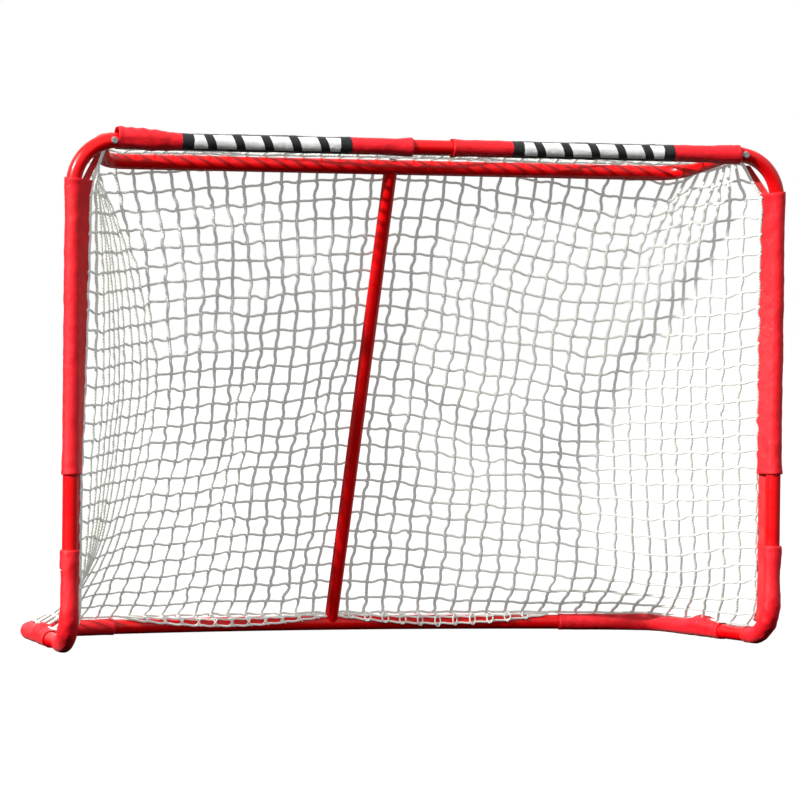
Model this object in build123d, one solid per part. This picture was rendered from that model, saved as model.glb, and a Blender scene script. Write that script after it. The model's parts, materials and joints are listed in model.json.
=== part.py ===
from build123d import *
import math
import os

# Knock-down steel goal frame with fabric sleeves and a laced net.
# Millimetres. X runs along the crossbar, +Y from the goal mouth to the back, +Z up.
# The origin is on the floor, at the centre of the goal's footprint.

# Goal mouth, between the posts and under the crossbar
MOUTH_WIDTH = 1828.8
MOUTH_HEIGHT = 1232

# Steel tube
TUBE_R = 19.05
WALL = 1.5
BORE_R = TUBE_R - WALL
INSERT_R = BORE_R - 0.15
INSERT_BORE_R = INSERT_R - WALL
INSERT_LENGTH = 90
INSERT_ROOT = 6
POST_TUBE_R = 17.45
POST_BORE_R = POST_TUBE_R - WALL
CORNER_BEND_R = 110
FOOT_BEND_R = 95
REAR_BEND_R = 90

# Fabric sleeves
SLEEVE_GAP = 0.45
SLEEVE_THICK = 1.5
SLEEVE_IN = TUBE_R + SLEEVE_GAP
SLEEVE_OUT = SLEEVE_IN + SLEEVE_THICK
FLAP_TIP_R = 1.2
POST_FLAP_REACH = 42
BAR_FLAP_REACH = 42
FLAP_ANGLE = math.radians(22)

# Levels and the main lines of the frame
BASE_Z = SLEEVE_OUT
BAR_Z = MOUTH_HEIGHT + TUBE_R
POST_X = MOUTH_WIDTH / 2 + TUBE_R
BASE_CORNER_X = 866
BASE_DEPTH = 741
BOW_R = 2940
REAR_JOINT_X = 620
POST_JOINT_Z = 238
BAR_JOINT_X = -33

# Bolts through the crossbar and the top rear bar
BOLT_X = 837
BOLT_R = 3.9
BOLT_HOLE_R = 4.3
BOLT_HEAD_ACROSS = 7.5
BOLT_HEAD_HIGH = 5.3
BOLT_REACH = 62
WASHER_R = 8.5
WASHER_THICK = 1.6
FIT_GAP = 0.05
PLUG_FROM = 24
PLUG_TO = 60

# Top shelf, the U-shaped tube behind the crossbar
SHELF_CORNER_X = 774
SHELF_DEPTH = 285
SHELF_DROP = 43
SHELF_LEG_STRAIGHT = 100
SHELF_LEG_BEND_R = 200
SHELF_BEND_R = 75
COPE_GAP = 0.2
SPIGOT_R = POST_BORE_R - 0.15
SPIGOT_LENGTH = 80
POST_TOP_X = -12

# Snap buttons in the tube joints
BUTTON_SETBACK = 33
BUTTON_R = 3.9
BUTTON_HOLE_R = 4.2
BUTTON_PROUD = 4.5
BUTTON_FLANGE_R = 6
BUTTON_FLANGE_TOP = 14.4
BUTTON_FLANGE_LOW = 12.9
SPRING_WIDE = 8
SPRING_THICK = 0.8

# Sleeve ends
BAR_SLEEVE_OUTER = 826
BAR_SLEEVE_LEFT_INNER = 62
BAR_SLEEVE_RIGHT_INNER = 44
UPPER_SLEEVE_LOW = 438
UPPER_SLEEVE_HIGH = 1140
LOWER_SLEEVE_HIGH = 255
LOWER_SLEEVE_BACK = 120
BASE_SLEEVE_FRONT = 245

# Net, its edge binding and its lacing
NET_THICK = 2
NET_LOW = 46
NET_FOOT = 60
NET_HIGH = 1203
NET_LEVELS = 6
NET_BEHIND = 12
BINDING_IN = 22.5
BINDING_OUT = 40
BINDING_GAP = 4
BINDING_LOW = 120
NET_EDGE = 46
BINDING_TOP = 1225
MESH = 47
RING_MAJOR_R = 7.6
RING_MINOR_R = 2.4
RING_TURN = 50
RING_COUNT = 26
CORD_R = 2.2
DRAW_CORD_IN = 32
DRAW_CORD_Z = 24
HEM_CORD_IN = 30
HEM_CORD_Z = 37
LACE_HALF_X = 600

# The footprint's centre lies midway between the bolt heads and the back of the base.
FRONT_REACH = TUBE_R + WASHER_THICK + BOLT_HEAD_HIGH + 2 * FIT_GAP
BACK_REACH = BASE_DEPTH + TUBE_R
GOAL_Y = (FRONT_REACH - BACK_REACH) / 2

SIDES = {"left": -1, "right": 1}


def at(x, depth, z):
    """A point given by its depth behind the goal line."""
    return Vector(x, GOAL_Y + depth, z)


def bow_depth(x, inward=0):
    """Depth of the bowed rear line at x, or of a line parallel to it further in."""
    radius = BOW_R - inward
    return BASE_DEPTH - BOW_R + math.sqrt(radius**2 - x**2)


BOW_TILT = math.asin(REAR_JOINT_X / BOW_R)
REAR_CORNER_DEPTH = bow_depth(REAR_JOINT_X) - math.tan(BOW_TILT) * (BASE_CORNER_X - REAR_JOINT_X)


def pipe(path, outer, inner):
    """A tube of two radii along a path of straight runs and arcs."""
    start = Plane(origin=path @ 0, z_dir=path % 0)
    return sweep(start * (Circle(outer) - Circle(inner)), path=path)


def rod(path, radius):
    """A solid round cord along a path."""
    start = Plane(origin=path @ 0, z_dir=path % 0)
    return sweep(start * Circle(radius), path=path)


def drum(start, direction, low, high, outer, inner=0):
    """A straight cylinder or ring, from low to high along a direction from a start point."""
    plane = Plane(origin=start + direction * low, z_dir=direction)
    face = plane * Circle(outer)
    if inner:
        face = plane * (Circle(outer) - Circle(inner))
    return extrude(face, amount=high - low)


def bow_edge(half_x, inward, z):
    """An arc parallel to the rear base bar."""
    ends = [at(side * half_x, bow_depth(half_x, inward), z) for side in (-1, 1)]
    return ThreePointArc(ends[0], at(0, bow_depth(0, inward), z), ends[1])


def slab(rows, thick):
    """A closed panel of flat triangles about a grid of points."""
    last_row = len(rows) - 1
    last_col = len(rows[0]) - 1

    def shifted(r, c, amount):
        along = rows[r][min(c + 1, last_col)] - rows[r][max(c - 1, 0)]
        across = rows[min(r + 1, last_row)][c] - rows[max(r - 1, 0)][c]
        return rows[r][c] + along.cross(across).normalized() * amount

    front = [[shifted(r, c, thick / 2) for c in range(last_col + 1)] for r in range(last_row + 1)]
    back = [[shifted(r, c, -thick / 2) for c in range(last_col + 1)] for r in range(last_row + 1)]
    triangles = []
    for r in range(last_row):
        for c in range(last_col):
            corners = [(r, c), (r, c + 1), (r + 1, c + 1), (r + 1, c)]
            a, b, d, e = [front[i][j] for i, j in corners]
            triangles += [(a, b, d), (a, d, e)]
            a, b, d, e = [back[i][j] for i, j in corners]
            triangles += [(a, d, b), (a, e, d)]
    rim = [(0, c) for c in range(last_col)]
    rim += [(r, last_col) for r in range(last_row)]
    rim += [(last_row, c) for c in range(last_col, 0, -1)]
    rim += [(r, 0) for r in range(last_row, 0, -1)]
    for (r, c), (s, d) in zip(rim, rim[1:] + rim[:1]):
        triangles += [(back[r][c], back[s][d], front[s][d]), (back[r][c], front[s][d], front[r][c])]
    faces = [Face(Wire.make_polygon(list(t), close=True)) for t in triangles]
    return Solid(Shell(faces))


def mirrored(shape):
    """The same piece on the other side of the goal's middle plane."""
    return mirror(shape, about=Plane.YZ)


# --- Paths of the tubes -------------------------------------------------------------------


def upper_path(side):
    """From the crossbar joint, round the top corner and down to the post joint."""
    points = [
        at(BAR_JOINT_X, 0, BAR_Z),
        at(side * POST_X, 0, BAR_Z),
        at(side * POST_X, 0, POST_JOINT_Z),
    ]
    return FilletPolyline(*points, radius=CORNER_BEND_R)


def side_line_x(depth):
    """X of the base side tube's axis at a depth, on the right."""
    return POST_X - (POST_X - BASE_CORNER_X) * depth / REAR_CORNER_DEPTH


def lower_path(side):
    """From the post joint, round the foot, back along the floor and round the rear corner."""
    points = [
        at(side * POST_X, 0, POST_JOINT_Z),
        at(side * POST_X, 0, BASE_Z),
        at(side * BASE_CORNER_X, REAR_CORNER_DEPTH, BASE_Z),
        rear_run_point(side, REAR_JOINT_X),
    ]
    return FilletPolyline(*points, radius=[FOOT_BEND_R, REAR_BEND_R])


def rear_run_point(side, x):
    """A point on the straight run between the rear corner and the rear joint."""
    depth = bow_depth(REAR_JOINT_X) - math.tan(BOW_TILT) * (x - REAR_JOINT_X)
    return at(side * x, depth, BASE_Z)


def shelf_path():
    """From one crossbar bolt back to the top rear bar, along it, and forward to the other."""
    points = []
    for side in (-1, 1):
        leg = [
            at(side * BOLT_X, 0, BAR_Z),
            at(side * BOLT_X, SHELF_LEG_STRAIGHT, BAR_Z),
            at(side * SHELF_CORNER_X, SHELF_DEPTH, BAR_Z - SHELF_DROP),
        ]
        points += leg if side < 0 else leg[::-1]
    radii = [SHELF_LEG_BEND_R, SHELF_BEND_R, SHELF_BEND_R, SHELF_LEG_BEND_R]
    return FilletPolyline(*points, radius=radii)


# --- Joints with snap buttons -------------------------------------------------------------
# Each joint's plane has its origin where the outer tube ends, its Z along the inserted
# tube end, and its X along the button, pointing out of the tube.

OUTWARD = Vector(math.sin(BOW_TILT), math.cos(BOW_TILT), 0)
JOINTS = {
    "post_button_left": Plane(at(-POST_X, 0, POST_JOINT_Z), x_dir=(-1, 0, 0), z_dir=(0, 0, -1)),
    "post_button_right": Plane(at(POST_X, 0, POST_JOINT_Z), x_dir=(1, 0, 0), z_dir=(0, 0, -1)),
    "crossbar_button": Plane(at(BAR_JOINT_X, 0, BAR_Z), x_dir=(0, 1, 0), z_dir=(1, 0, 0)),
    "base_button_left": Plane(
        rear_run_point(-1, REAR_JOINT_X),
        x_dir=(-OUTWARD.X, OUTWARD.Y, 0),
        z_dir=(-OUTWARD.Y, -OUTWARD.X, 0),
    ),
    "base_button_right": Plane(
        rear_run_point(1, REAR_JOINT_X),
        x_dir=(OUTWARD.X, OUTWARD.Y, 0),
        z_dir=(OUTWARD.Y, -OUTWARD.X, 0),
    ),
}


def insert_end(joint):
    """The narrowed tube end that slides into the next tube."""
    root = joint.offset(-INSERT_ROOT)
    collar = extrude(
        root * (Circle(BORE_R + WALL / 2) - Circle(INSERT_BORE_R)), amount=INSERT_ROOT
    )
    sleeve = extrude(
        root * (Circle(INSERT_R) - Circle(INSERT_BORE_R)), amount=INSERT_ROOT + INSERT_LENGTH
    )
    return collar + sleeve


def button_axis(joint):
    """Point on the tube's axis under the button."""
    return joint.from_local_coords(Vector(0, 0, BUTTON_SETBACK))


def button_hole(joint, radius=BUTTON_HOLE_R):
    return drum(button_axis(joint), joint.x_dir, TUBE_R / 2, TUBE_R * 1.5, radius)


def button(joint):
    """A flanged pin with a rounded tip."""
    middle = button_axis(joint)
    tip = TUBE_R + BUTTON_PROUD
    pin = drum(middle, joint.x_dir, BUTTON_FLANGE_TOP, tip, BUTTON_R)
    pin = fillet(pin.edges().sort_by(Axis(middle, joint.x_dir))[-1], BUTTON_R * 0.6)
    return pin + drum(middle, joint.x_dir, BUTTON_FLANGE_LOW, BUTTON_FLANGE_TOP, BUTTON_FLANGE_R)


def button_spring(joint):
    """A V-shaped leaf, one leg under the button and the other on the far wall."""
    seat = BUTTON_FLANGE_LOW - FIT_GAP - SPRING_THICK / 2
    far = -(INSERT_BORE_R - 1.3)
    leaf = [(seat, -6), (seat, 8), (far * 0.55, 46), (far, 30), (far, -10)]
    points = [
        joint.from_local_coords(Vector(out, 0, BUTTON_SETBACK + along)) for out, along in leaf
    ]
    path = FilletPolyline(*points, radius=[6, 3, 6])
    start = Plane(origin=path @ 0, x_dir=joint.y_dir, z_dir=path % 0)
    return sweep(start * Rectangle(SPRING_WIDE, SPRING_THICK), path=path)


# --- Frame --------------------------------------------------------------------------------


def corner_bolt_hole(side):
    return drum(at(side * BOLT_X, 0, BAR_Z), Vector(0, 1, 0), -2 * TUBE_R, 2 * TUBE_R, BOLT_HOLE_R)


def upper_frame(side_name):
    """Half of the crossbar, the top corner and the upper post, in one bent tube."""
    side = SIDES[side_name]
    tube = pipe(upper_path(side), TUBE_R, BORE_R)
    post_joint = JOINTS["post_button_" + side_name]
    tube = tube + insert_end(post_joint) - button_hole(post_joint)
    bar_joint = JOINTS["crossbar_button"]
    if side < 0:
        tube = tube + insert_end(bar_joint)
    return tube - button_hole(bar_joint) - corner_bolt_hole(side)


def lower_frame(side_name):
    """Lower post, foot bend, base side and rear corner, in one bent tube."""
    side = SIDES[side_name]
    tube = pipe(lower_path(side), TUBE_R, BORE_R)
    for name in ("post_button_", "base_button_"):
        tube = tube - button_hole(JOINTS[name + side_name])
    return tube


POST_TOP = at(POST_TOP_X, SHELF_DEPTH, BAR_Z - SHELF_DROP)
POST_FOOT = at(0, BASE_DEPTH, BASE_Z)
POST_LENGTH = (POST_FOOT - POST_TOP).length
POST_DOWN = (POST_FOOT - POST_TOP).normalized()


def across(centre, radius):
    """A cylinder along X about a point, wider than any tube that ends on it."""
    return drum(centre, Vector(1, 0, 0), -3 * TUBE_R, 3 * TUBE_R, radius)


def base_rear_bar():
    """The bowed rear tube, with a narrowed end each side and the centre post's spigot."""
    bar = pipe(bow_edge(REAR_JOINT_X, 0, BASE_Z), TUBE_R, BORE_R)
    for name in ("base_button_left", "base_button_right"):
        bar = bar + insert_end(JOINTS[name]) - button_hole(JOINTS[name])
    spigot = drum(POST_FOOT, -POST_DOWN, 0, SPIGOT_LENGTH, SPIGOT_R, SPIGOT_R - WALL)
    return bar + (spigot - across(POST_FOOT, BORE_R + WALL / 2))


def top_shelf_tube():
    """The U-shaped tube, its legs cut to sit on the crossbar's back."""
    tube = pipe(shelf_path(), TUBE_R, BORE_R)
    for side in (-1, 1):
        tube = tube - rod(upper_path(side), TUBE_R + COPE_GAP)
    return tube - drum(POST_TOP, POST_DOWN, -2 * TUBE_R, 2 * TUBE_R, BOLT_HOLE_R)


def centre_post():
    """The sloping post from the top rear bar to the base, cut to sit on both."""
    tube = drum(POST_TOP, POST_DOWN, 0, POST_LENGTH, POST_TUBE_R, POST_BORE_R)
    for end in (POST_TOP, POST_FOOT):
        tube = tube - across(end, TUBE_R + COPE_GAP)
    return tube


# --- Fasteners ----------------------------------------------------------------------------


def bolt_lines():
    """Where each bolt runs: its tube's centre and the way it points."""
    lines = [(at(side * BOLT_X, 0, BAR_Z), Vector(0, 1, 0)) for side in (-1, 1)]
    return lines + [(POST_TOP, POST_DOWN)]


def bolt(centre, direction):
    under_head = -(TUBE_R + WASHER_THICK + 2 * FIT_GAP)
    top = Plane(origin=centre + direction * (under_head - BOLT_HEAD_HIGH), z_dir=direction)
    head = extrude(top * RegularPolygon(BOLT_HEAD_ACROSS, 6), amount=BOLT_HEAD_HIGH)
    return head + drum(centre, direction, under_head, BOLT_REACH, BOLT_R)


def washer(centre, direction):
    outside = -(TUBE_R + WASHER_THICK + FIT_GAP)
    return drum(centre, direction, outside, outside + WASHER_THICK, WASHER_R, BOLT_HOLE_R)


def plug(centre, direction, radius):
    return drum(centre, direction, PLUG_FROM, PLUG_TO, radius, BOLT_R + FIT_GAP)


# --- Fabric sleeves -----------------------------------------------------------------------


def flapped_sleeve(start, along, flap, length, reach):
    """A sleeve round a straight tube, with a sewn flap that holds the net's edge."""
    plane = Plane(origin=start, x_dir=flap, z_dir=along)
    outline = Sketch() + Circle(SLEEVE_OUT) + Pos(reach, 0) * Circle(FLAP_TIP_R)
    face = make_hull(outline.edges()) - Circle(SLEEVE_IN)
    return extrude(plane * face, amount=length)


def crossbar_sleeve(side_name):
    side = SIDES[side_name]
    inner = BAR_SLEEVE_LEFT_INNER if side < 0 else BAR_SLEEVE_RIGHT_INNER
    start = at(side * inner, 0, BAR_Z)
    sleeve = flapped_sleeve(
        start, Vector(side, 0, 0), Vector(0, 1, 0), BAR_SLEEVE_OUTER - inner, BAR_FLAP_REACH
    )
    leg = drum(at(side * BOLT_X, 0, BAR_Z), Vector(0, 1, 0), 0, 3 * TUBE_R, TUBE_R + 2)
    return sleeve - leg


def post_flap(side):
    """The way the net leaves the post: mostly towards the mouth's middle, partly back."""
    return Vector(-side * math.cos(FLAP_ANGLE), math.sin(FLAP_ANGLE), 0)


def upper_post_sleeve(side):
    return flapped_sleeve(
        at(side * POST_X, 0, UPPER_SLEEVE_LOW),
        Vector(0, 0, 1),
        post_flap(side),
        UPPER_SLEEVE_HIGH - UPPER_SLEEVE_LOW,
        POST_FLAP_REACH,
    )


def lower_post_sleeve(side_name):
    """Round the lower post and the foot bend, with a hole for the button."""
    side = SIDES[side_name]
    points = [
        at(side * POST_X, 0, LOWER_SLEEVE_HIGH),
        at(side * POST_X, 0, BASE_Z),
        at(side * side_line_x(LOWER_SLEEVE_BACK), LOWER_SLEEVE_BACK, BASE_Z),
    ]
    path = FilletPolyline(*points, radius=FOOT_BEND_R)
    hole = button_hole(JOINTS["post_button_" + side_name], BUTTON_HOLE_R + 1)
    return pipe(path, SLEEVE_OUT, SLEEVE_IN) - hole


def base_sleeve(side_name):
    """Along the base side, round the rear corner and up to the rear joint."""
    side = SIDES[side_name]
    points = [
        at(side * side_line_x(BASE_SLEEVE_FRONT), BASE_SLEEVE_FRONT, BASE_Z),
        at(side * BASE_CORNER_X, REAR_CORNER_DEPTH, BASE_Z),
        rear_run_point(side, REAR_JOINT_X),
    ]
    path = FilletPolyline(*points, radius=REAR_BEND_R)
    hole = button_hole(JOINTS["base_button_" + side_name], BUTTON_HOLE_R + 1)
    return pipe(path, SLEEVE_OUT, SLEEVE_IN) - hole


# --- Net ----------------------------------------------------------------------------------
# The net hangs between an outline on the base tubes and one round the top shelf. Half-way
# up, the posts' edges pull it in from the rear corners, which have no post of their own.

EDGE_X = POST_X - NET_EDGE * math.cos(FLAP_ANGLE)
EDGE_DEPTH = NET_EDGE * math.sin(FLAP_ANGLE)
BASE_OUTLINE = [
    (EDGE_X, EDGE_DEPTH),
    (side_line_x(330), 330),
    (848, 604),
    (600, bow_depth(600) + NET_BEHIND),
    (300, bow_depth(300) + NET_BEHIND),
    (0, BASE_DEPTH + NET_BEHIND),
]
TOP_OUTLINE = [
    (846, 36),
    (850, 170),
    (794, 307),
    (560, 309),
    (280, 309),
    (0, 309),
]
PULL_IN = [(0, 0), (145, 0), (220, 70), (70, 93), (10, 46), (0, 0)]
FLARE = 0.5
SIDE_STATIONS = [0, 1, 2]
BACK_STATIONS = [2, 3, 4, 5]
PANEL_GAP = 5


def net_point(station, height):
    """A point of the right half of the net, height running from 0 at the floor to 1."""
    low, high = BASE_OUTLINE[station], TOP_OUTLINE[station]
    foot = NET_FOOT if station == 0 else NET_LOW
    x = low[0] + (high[0] - low[0]) * height
    if station == 0:
        x = EDGE_X if height < 0.9 else high[0]
    depth = low[1] + (high[1] - low[1]) * height
    waist = math.sin(math.pi * height) ** (FLARE if height < 0.5 else 1)
    x -= PULL_IN[station][0] * waist
    depth -= PULL_IN[station][1] * waist
    return at(x, depth, foot + (NET_HIGH - foot) * height)


def net_rows(stations):
    return [[net_point(s, level / NET_LEVELS) for s in stations] for level in range(NET_LEVELS + 1)]


def net_back():
    """The back panel, from one rear corner round behind the centre post to the other."""
    rows = [row + [Vector(-p.X, p.Y, p.Z) for p in row[-2::-1]] for row in net_rows(BACK_STATIONS)]
    return slab(rows, NET_THICK)


def net_side():
    """The right side panel, which stops just short of the back panel."""
    rows = net_rows(SIDE_STATIONS)
    for row in rows:
        row[-1] += (row[-2] - row[-1]).normalized() * PANEL_GAP
    return slab(rows, NET_THICK)


def net_roof():
    """The panel inside the top shelf's U, from the crossbar's flap to the rear bar."""
    rows = []
    for depth, half_x in ((48, 806), (130, 790), (205, 742), (262, 688)):
        z = BAR_Z - 6 - (SHELF_DROP - 4) * depth / SHELF_DEPTH
        rows.append([at(x, depth, z) for x in (-half_x, 0, half_x)])
    return slab(rows, NET_THICK)


def net_binding():
    """The ribbon beside the right post's bare tube, and on across the top corner."""

    def edge(reach):
        return POST_X - reach * math.cos(FLAP_ANGLE), reach * math.sin(FLAP_ANGLE)

    inner = edge(BINDING_IN)
    outer = edge(BINDING_OUT)

    def row(z):
        return [at(*inner, z), at(*outer, z)]

    low = [row(BINDING_LOW), row(UPPER_SLEEVE_LOW - BINDING_GAP)]
    top = [row(UPPER_SLEEVE_HIGH + BINDING_GAP), [at(868, 24, BINDING_TOP), at(850, 30, BINDING_TOP)]]
    return [slab(low, NET_THICK), slab(top, NET_THICK)]


def net_rings():
    """Rings along the inside of the rear bar, one to each mesh of the net's lower edge."""
    rings = []
    for number in range(RING_COUNT):
        x = (number - (RING_COUNT - 1) / 2) * MESH
        centre = at(x, bow_depth(x, DRAW_CORD_IN), DRAW_CORD_Z)
        turn = math.radians(RING_TURN) - math.asin(x / BOW_R)
        normal = Vector(math.cos(turn), math.sin(turn), 0)
        rings.append(Plane(origin=centre, z_dir=normal) * Torus(RING_MAJOR_R, RING_MINOR_R))
    return rings


# --- All the pieces -----------------------------------------------------------------------


def build():
    parts = {}
    for name, side in SIDES.items():
        parts["upper_frame_" + name] = upper_frame(name)
        parts["lower_frame_" + name] = lower_frame(name)
        parts["crossbar_sleeve_" + name] = crossbar_sleeve(name)
        parts["upper_post_sleeve_" + name] = upper_post_sleeve(side)
        parts["lower_post_sleeve_" + name] = lower_post_sleeve(name)
        parts["base_sleeve_" + name] = base_sleeve(name)
    parts["base_rear_bar"] = base_rear_bar()
    parts["top_shelf_tube"] = top_shelf_tube()
    parts["centre_post"] = centre_post()
    parts["frame_bolts"] = [bolt(*line) for line in bolt_lines()]
    parts["bolt_washers"] = [washer(*line) for line in bolt_lines()]
    parts["shelf_leg_plugs"] = [plug(*line, INSERT_R) for line in bolt_lines()[:2]]
    parts["centre_post_plug"] = plug(*bolt_lines()[2], SPIGOT_R)
    for name, joint in JOINTS.items():
        parts[name] = button(joint)
        parts[name.replace("button", "button_spring")] = button_spring(joint)
    parts["net_back"] = net_back()
    parts["net_roof"] = net_roof()
    parts["net_side_right"] = net_side()
    parts["net_side_left"] = mirrored(parts["net_side_right"])
    parts["net_binding_right"] = net_binding()
    parts["net_binding_left"] = [mirrored(strip) for strip in parts["net_binding_right"]]
    parts["net_rings"] = net_rings()
    parts["draw_cord"] = rod(bow_edge(LACE_HALF_X, DRAW_CORD_IN, DRAW_CORD_Z), CORD_R)
    parts["hem_cord"] = rod(bow_edge(LACE_HALF_X, HEM_CORD_IN, HEM_CORD_Z), CORD_R)
    return parts


def main():
    os.makedirs("parts", exist_ok=True)
    for name, shape in build().items():
        if isinstance(shape, list):
            shape = Compound([solid for piece in shape for solid in piece.solids()])
        export_step(shape, "parts/" + name + ".step")
    for name, joint in JOINTS.items():
        inward = -joint.x_dir
        print(name, "slides along", tuple(round(v, 6) for v in inward))


main()
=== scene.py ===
import json
import math

import bpy
import numpy as np
from mathutils import Matrix, Vector, noise


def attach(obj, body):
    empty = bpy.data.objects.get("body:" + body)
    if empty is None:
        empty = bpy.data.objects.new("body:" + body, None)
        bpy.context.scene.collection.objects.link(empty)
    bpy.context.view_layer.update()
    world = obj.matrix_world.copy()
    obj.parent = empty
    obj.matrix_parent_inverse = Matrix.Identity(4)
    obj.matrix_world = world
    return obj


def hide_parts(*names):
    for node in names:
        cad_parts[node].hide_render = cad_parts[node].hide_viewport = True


# A knock-down hockey goal: red steel tube in fabric sleeves, with a laced net of white cord.
# Metres, in the frame of the CAD: X along the crossbar, +Y to the back, +Z up.

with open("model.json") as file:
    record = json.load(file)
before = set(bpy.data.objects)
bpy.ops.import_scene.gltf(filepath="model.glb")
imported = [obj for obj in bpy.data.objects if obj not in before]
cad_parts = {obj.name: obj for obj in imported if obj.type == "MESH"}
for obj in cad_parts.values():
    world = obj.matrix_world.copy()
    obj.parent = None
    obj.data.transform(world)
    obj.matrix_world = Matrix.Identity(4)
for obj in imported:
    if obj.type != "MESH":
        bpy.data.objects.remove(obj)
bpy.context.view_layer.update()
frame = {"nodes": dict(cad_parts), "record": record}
RANDOM = np.random.default_rng(7)

# --- Driving dimensions, as in part.py ------------------------------------------------------
GOAL_Y = -0.367
TUBE_R = 0.01905
POST_X = 0.93345
BAR_Z = 1.25105
BASE_Z = 0.021
CORNER_DEPTH = 0.6218
BASE_CORNER_X = 0.866
BASE_DEPTH = 0.741
BOW_R = 2.94
REAR_JOINT_X = 0.62
SHELF_DEPTH = 0.285
SHELF_Z = BAR_Z - 0.043
TOP_BEND_R = 0.11
FOOT_BEND_R = 0.095
REAR_BEND_R = 0.09
BOW_TILT = math.asin(REAR_JOINT_X / BOW_R)

# Net: columns from -HALF to HALF round the goal, rows from the shelf down to the base.
# DROP_RIGHT and DROP_LEFT say how many meshes each half slips down, at each of DROP_COLUMNS.
HALF = 24
ROWS = 26
BAR_COLUMN = 16
CORNER_COLUMN = 18
MESH = 0.0486
COLUMN_R = 0.0041
ROW_R = 0.0032
EDGE_REACH = 0.044
TAPE_REACH = (0.019, 0.0385)
DROP_COLUMNS = (0, 3, 13, 24)
DROP_RIGHT = (0, 0.1, 1.7, 1.1)
DROP_LEFT = (0, 0.1, 0.9, 1.6)
FIRST_ROW = -1.7
BAR_WRAP = 0.75
EDGE_TOP = (0.845, 0.03, 1.238)
LEG_RISE = 0.036
PINCH = (0.775, 0.3, 1.14)
PINCH_REACH = 0.13
FLAP_TWIST = math.radians(37)
FLAP_STRAIGHT_Z = 1.14
FLAP_TURNED_Z = 0.438
NET_HIGH = 1.203
NET_LOW = 0.047
NET_FOOT = 0.06
ROOF_ROWS = 4
ROOF_HALF_X = 0.818
ROOF_SLOPE = 0.07
ROOF_FLAP = (0.04, BAR_Z - 0.003)
ROOF_SAG = 0.006
NEAR_TOP = 0.62
NEAR_BASE = 0.11
NEAR_LEG = 0.75
SETTLE_STEPS = 260
SETTLE_SWEEPS = 3
GUIDE_PULL = 0.03
SETTLE_FALL = 0.00025
SPAN_SHARE = 0.45
SWEEP_SHARE = 0.5
LEG_SHARE = 0.1
# Painted light: how strongly the white cords glow, which brightens their shaded sides and the parts in
# shadow.
PAINTED_GLOW = 0.2

# Lacing along the rear base bar
LACE_HALF_X = 0.59
LACE_R = 0.0026
RING_R = 0.0021
RING_WIDE = 0.0085
LOOP_R = 0.0017
LOOP_HALF = 0.009

# Sleeves
SLEEVE_R = 0.021
CLOTH = 0.0012
POST_SLEEVE_LOW = 0.438
POST_SLEEVE_HIGH = 1.158
BAR_SLEEVE_INNER = {"left": -0.062, "right": 0.044}
BAR_SLEEVE_OUTER = 0.826
LOWER_SLEEVE_HIGH = 0.255
LOWER_SLEEVE_BACK = 0.12
BASE_SLEEVE_FRONT = 0.245
BAR_FLAP_REACH = 0.042
POST_FLAP_REACH = 0.043
SLEEVE_SIDES = 44
RING_STEP = 0.004
BUTTON_HOLE_R = 0.0052
DRILL_LENGTH = 0.03
TAPE_SHARES = (0, 0.2, 0.4, 0.6, 0.8, 1.0)
TAPE_THICK = 0.0018
TAPE_WIDTH = 0.018
TAPE_LENGTH = 1.2

UP = np.array([0, 0, 1.0])
BACK = np.array([0, 1.0, 0])


def at(x, depth, z):
    return np.array([x, GOAL_Y + depth, z])


def bow_depth(x, inward=0.0):
    return BASE_DEPTH - BOW_R + math.sqrt((BOW_R - inward) ** 2 - x**2)


def side_line_x(depth):
    return POST_X - (POST_X - BASE_CORNER_X) * depth / CORNER_DEPTH


def post_edge(side, reach, z):
    """A point beside a post, on the net's way out, which turns back towards the floor."""
    turned = np.clip((FLAP_STRAIGHT_Z - z) / (FLAP_STRAIGHT_Z - FLAP_TURNED_Z), 0, 1)
    angle = FLAP_TWIST * turned
    x = side * (POST_X - reach * math.cos(angle))
    if z >= FOOT_BEND_R + BASE_Z:
        return at(x, reach * math.sin(angle), z)
    fall = math.asin((FOOT_BEND_R + BASE_Z - z) / FOOT_BEND_R)
    back = FOOT_BEND_R * (1 - math.cos(fall))
    behind = reach * math.sin(angle)
    return at(x, behind * math.cos(fall) + back, z + behind * math.sin(fall))


def unit(v):
    return v / np.maximum(np.linalg.norm(v, axis=-1, keepdims=True), 1e-12)


def reach_along(points):
    """The length along a polyline at each of its points."""
    return np.concatenate([[0], np.cumsum(np.linalg.norm(np.diff(points, axis=0), axis=1))])


def points_at(points, reach, marks):
    """The points of a polyline at these lengths along it."""
    return np.stack([np.interp(marks, reach, points[:, k]) for k in range(3)], axis=1)


# --- Meshes -----------------------------------------------------------------------------------


def new_piece(name, verts, faces, material, uvs=None, smooth=True):
    """A mesh object on the goal's body. uvs holds one pair for each corner of each face."""
    mesh = bpy.data.meshes.new(name)
    mesh.from_pydata([tuple(v) for v in verts], [], [tuple(f) for f in faces])
    if uvs is not None:
        layer = mesh.uv_layers.new(name="UVMap")
        layer.data.foreach_set("uv", np.asarray(uvs, float).ravel())
    mesh.materials.append(material)
    mesh.polygons.foreach_set("use_smooth", [smooth] * len(mesh.polygons))
    mesh.update()
    piece = bpy.data.objects.new(name, mesh)
    bpy.context.scene.collection.objects.link(piece)
    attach(piece, "goal")
    return piece


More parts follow.
